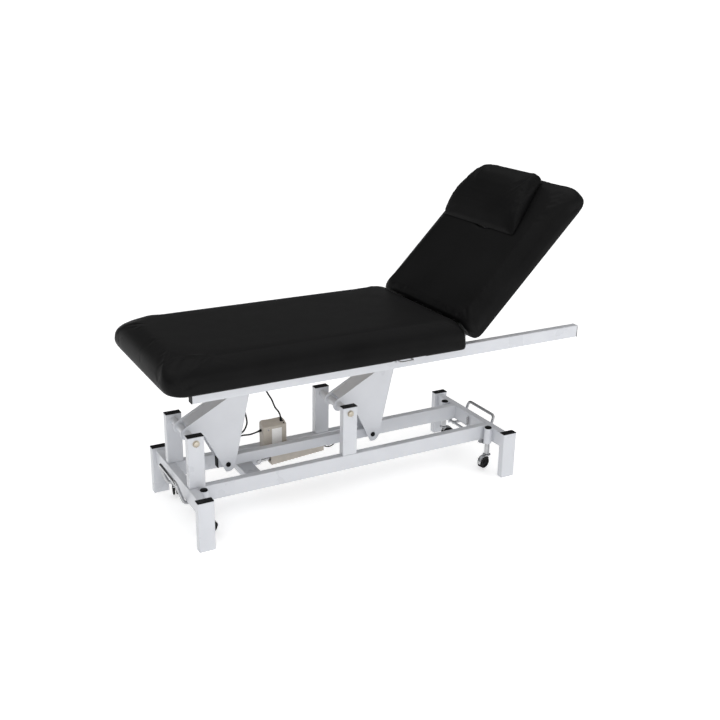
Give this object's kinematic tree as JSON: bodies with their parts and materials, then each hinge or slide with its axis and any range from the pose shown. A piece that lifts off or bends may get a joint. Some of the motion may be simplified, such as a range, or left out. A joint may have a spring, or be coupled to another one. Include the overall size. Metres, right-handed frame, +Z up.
{
  "type": "examination couch",
  "caption": "Padded examination couch with a reclining backrest, head pillow, parallelogram height lift driven by an actuator, and retractable casters with pedals.",
  "frame": {"origin": "on the floor, under the middle of the couch's outer box", "axes": "+X towards the head end, +Y away from the operating side, +Z up"},
  "size_m": [1.718, 0.64, 1.2028],
  "materials": {
    "white_frame": "gloss",
    "black_vinyl": "satin",
    "foam": "matte",
    "plywood": "matte",
    "chrome": "polished",
    "yellow_zinc": "satin",
    "black_steel": "satin",
    "grey_plastic": "satin",
    "black_rubber": "matte"
  },
  "bodies": {
    "base": {"foot_end_frame": "white_frame", "head_end_frame": "white_frame", "lower_rail_near": "white_frame", "lower_rail_far": "white_frame", "post_foot_near": "white_frame", "post_head_near": "white_frame", "post_foot_far": "white_frame", "post_head_far": "white_frame", "actuator_crossbar": "white_frame", "pivot_axle_foot": "yellow_zinc", "pivot_axle_head": "yellow_zinc", "control_box": "grey_plastic", "actuator_rod_pin": "chrome", "pedal_spring_foot": "chrome", "pedal_spring_head": "chrome", "handset_lead": "black_rubber", "looped_lead": "black_rubber"},
    "crank_foot": {"lift_crank_foot": "white_frame"},
    "crank_head": {"lift_crank_head": "white_frame"},
    "tie_bar": {"tie_bar": "white_frame", "lower_pin_foot": "black_steel", "lower_pin_head": "black_steel", "actuator_body_pin": "chrome"},
    "top_frame": {"top_rail_near": "white_frame", "top_rail_far": "white_frame", "foot_cross_tube": "white_frame", "lift_cross_tube_foot": "white_frame", "lift_cross_tube_head": "white_frame", "hinge_cross_tube": "white_frame", "backrest_hinge_rod": "chrome", "upper_pin_foot": "black_steel", "upper_pin_head": "black_steel", "seat_cover": "black_vinyl", "seat_foam": "foam", "seat_board": "plywood"},
    "actuator_body": {"actuator_body": "grey_plastic", "actuator_lead": "black_rubber"},
    "actuator_rod": {"actuator_rod": "chrome"},
    "backrest": {"backrest_cover": "black_vinyl", "backrest_foam": "foam", "backrest_board": "plywood", "backrest_frame": "white_frame"},
    "pillow": {"head_pillow": "black_vinyl"},
    "gas_cylinder": {"gas_spring_cylinder": "black_steel"},
    "gas_rod": {"gas_spring_rod": "chrome"},
    "release_loop": {"release_loop": "chrome"},
    "pedal_foot": {"pedal_foot": "chrome"},
    "pedal_head": {"pedal_head": "chrome"},
    "stem_foot_near": {"caster_stem_foot_near": "chrome"},
    "fork_foot_near": {"caster_fork_foot_near": "chrome"},
    "wheel_foot_near": {"caster_wheel_foot_near": "black_rubber"},
    "stem_foot_far": {"caster_stem_foot_far": "chrome"},
    "fork_foot_far": {"caster_fork_foot_far": "chrome"},
    "wheel_foot_far": {"caster_wheel_foot_far": "black_rubber"},
    "stem_head_near": {"caster_stem_head_near": "chrome"},
    "fork_head_near": {"caster_fork_head_near": "chrome"},
    "wheel_head_near": {"caster_wheel_head_near": "black_rubber"},
    "stem_head_far": {"caster_stem_head_far": "chrome"},
    "fork_head_far": {"caster_fork_head_far": "chrome"},
    "wheel_head_far": {"caster_wheel_head_far": "black_rubber"}
  },
  "joints": [
    {"name": "lift", "type": "hinge", "parent": "base", "child": "crank_foot", "pos_m": [-0.705, 0, 0.35], "axis": [0, -1, 0], "range_deg": [-12, 34], "deforming": ["handset_lead", "looped_lead"]},
    {"name": "crank_head_turn", "type": "hinge", "parent": "base", "child": "crank_head", "pos_m": [-0.096, 0, 0.35], "axis": [0, -1, 0], "range_deg": [-12, 34]},
    {"name": "top_frame_level", "type": "hinge", "parent": "crank_foot", "child": "top_frame", "pos_m": [-0.48, 0, 0.475], "axis": [0, -1, 0], "range_deg": [-34, 12]},
    {"name": "tie_bar_level", "type": "hinge", "parent": "crank_foot", "child": "tie_bar", "pos_m": [-0.553, 0, 0.199], "axis": [0, -1, 0], "range_deg": [-34, 12]},
    {"name": "actuator_body_tilt", "type": "hinge", "parent": "tie_bar", "child": "actuator_body", "pos_m": [-0.104, 0.042, 0.168], "axis": [0, -1, 0], "range_deg": [-5.8, 16.2], "deforming": ["actuator_lead"]},
    {"name": "actuator_rod_tilt", "type": "hinge", "parent": "base", "child": "actuator_rod", "pos_m": [-0.404, 0.042, 0.147], "axis": [0, -1, 0], "range_deg": [-5.8, 16.2]},
    {"name": "backrest_recline", "type": "hinge", "parent": "top_frame", "child": "backrest", "pos_m": [0.298, 0, 0.64], "axis": [0, -1, 0], "range_deg": [-45.5, 12]},
    {"name": "gas_cylinder_tilt", "type": "hinge", "parent": "top_frame", "child": "gas_cylinder", "pos_m": [0.328, 0, 0.578], "axis": [0, -1, 0], "range_deg": [-44.4, 11.8]},
    {"name": "gas_rod_tilt", "type": "hinge", "parent": "backrest", "child": "gas_rod", "pos_m": [0.54536, 0, 0.81753], "axis": [0, -1, 0], "range_deg": [-0.4, 1.4]},
    {"name": "pillow_lift_off", "type": "slide", "parent": "backrest", "child": "pillow", "axis": [-0.7132, 0, 0.7009], "range_m": [0, 0.15]},
    {"name": "release_squeeze", "type": "hinge", "parent": "top_frame", "child": "release_loop", "pos_m": [0.0455, -0.275, 0.59], "axis": [-1, 0, 0], "range_deg": [0, 25], "stiffness_Nm_per_rad": 0.5, "springref_deg": -22.92},
    {"name": "pedal_foot_press", "type": "hinge", "parent": "base", "child": "pedal_foot", "pos_m": [-0.696, 0, 0.108], "axis": [0, -1, 0], "range_deg": [0, 40], "stiffness_Nm_per_rad": 5, "springref_deg": -34.38, "deforming": ["pedal_spring_foot"]},
    {"name": "stem_foot_near_lower", "type": "slide", "parent": "base", "child": "stem_foot_near", "axis": [0, 0, -1], "range_m": [0, 0.022]},
    {"name": "fork_foot_near_swivel", "type": "hinge", "parent": "stem_foot_near", "child": "fork_foot_near", "pos_m": [-0.693, -0.1605, 0.064], "axis": [0, 0, 1], "continuous": true},
    {"name": "wheel_foot_near_roll", "type": "hinge", "parent": "fork_foot_near", "child": "wheel_foot_near", "pos_m": [-0.675, -0.1605, 0.0345], "axis": [0, -1, 0], "continuous": true},
    {"name": "stem_foot_far_lower", "type": "slide", "parent": "base", "child": "stem_foot_far", "axis": [0, 0, -1], "range_m": [0, 0.022]},
    {"name": "fork_foot_far_swivel", "type": "hinge", "parent": "stem_foot_far", "child": "fork_foot_far", "pos_m": [-0.693, 0.1605, 0.064], "axis": [0, 0, 1], "continuous": true},
    {"name": "wheel_foot_far_roll", "type": "hinge", "parent": "fork_foot_far", "child": "wheel_foot_far", "pos_m": [-0.68926, 0.17811, 0.0345], "axis": [0.9781, -0.2079, 0], "continuous": true},
    {"name": "pedal_head_press", "type": "hinge", "parent": "base", "child": "pedal_head", "pos_m": [0.533, 0, 0.108], "axis": [0, 1, 0], "range_deg": [0, 40], "stiffness_Nm_per_rad": 5, "springref_deg": -34.38, "deforming": ["pedal_spring_head"]},
    {"name": "stem_head_near_lower", "type": "slide", "parent": "base", "child": "stem_head_near", "axis": [0, 0, -1], "range_m": [0, 0.022]},
    {"name": "fork_head_near_swivel", "type": "hinge", "parent": "stem_head_near", "child": "fork_head_near", "pos_m": [0.53, -0.1605, 0.064], "axis": [0, 0, 1], "continuous": true},
    {"name": "wheel_head_near_roll", "type": "hinge", "parent": "fork_head_near", "child": "wheel_head_near", "pos_m": [0.51239, -0.16424, 0.0345], "axis": [-0.2079, 0.9781, 0], "continuous": true},
    {"name": "stem_head_far_lower", "type": "slide", "parent": "base", "child": "stem_head_far", "axis": [0, 0, -1], "range_m": [0, 0.022]},
    {"name": "fork_head_far_swivel", "type": "hinge", "parent": "stem_head_far", "child": "fork_head_far", "pos_m": [0.53, 0.1605, 0.064], "axis": [0, 0, 1], "continuous": true},
    {"name": "wheel_head_far_roll", "type": "hinge", "parent": "fork_head_far", "child": "wheel_head_far", "pos_m": [0.54773, 0.15737, 0.0345], "axis": [-0.1736, -0.9848, 0], "continuous": true}
  ],
  "couplings": [
    {"joint": "crank_head_turn", "follows": "lift", "ratio": 1},
    {"joint": "top_frame_level", "follows": "lift", "ratio": -1},
    {"joint": "tie_bar_level", "follows": "lift", "ratio": -1},
    {"joint": "actuator_body_tilt", "follows": "lift", "ratio": 0.475},
    {"joint": "actuator_rod_tilt", "follows": "lift", "ratio": 0.475},
    {"joint": "gas_cylinder_tilt", "follows": "backrest_recline", "ratio": 0.9733},
    {"joint": "gas_rod_tilt", "follows": "backrest_recline", "ratio": -0.0291},
    {"joint": "stem_foot_near_lower", "follows": "pedal_foot_press", "m_per_rad": 0.0315},
    {"joint": "stem_foot_far_lower", "follows": "pedal_foot_press", "m_per_rad": 0.0315},
    {"joint": "stem_head_near_lower", "follows": "pedal_head_press", "m_per_rad": 0.0315},
    {"joint": "stem_head_far_lower", "follows": "pedal_head_press", "m_per_rad": 0.0315}
  ]
}
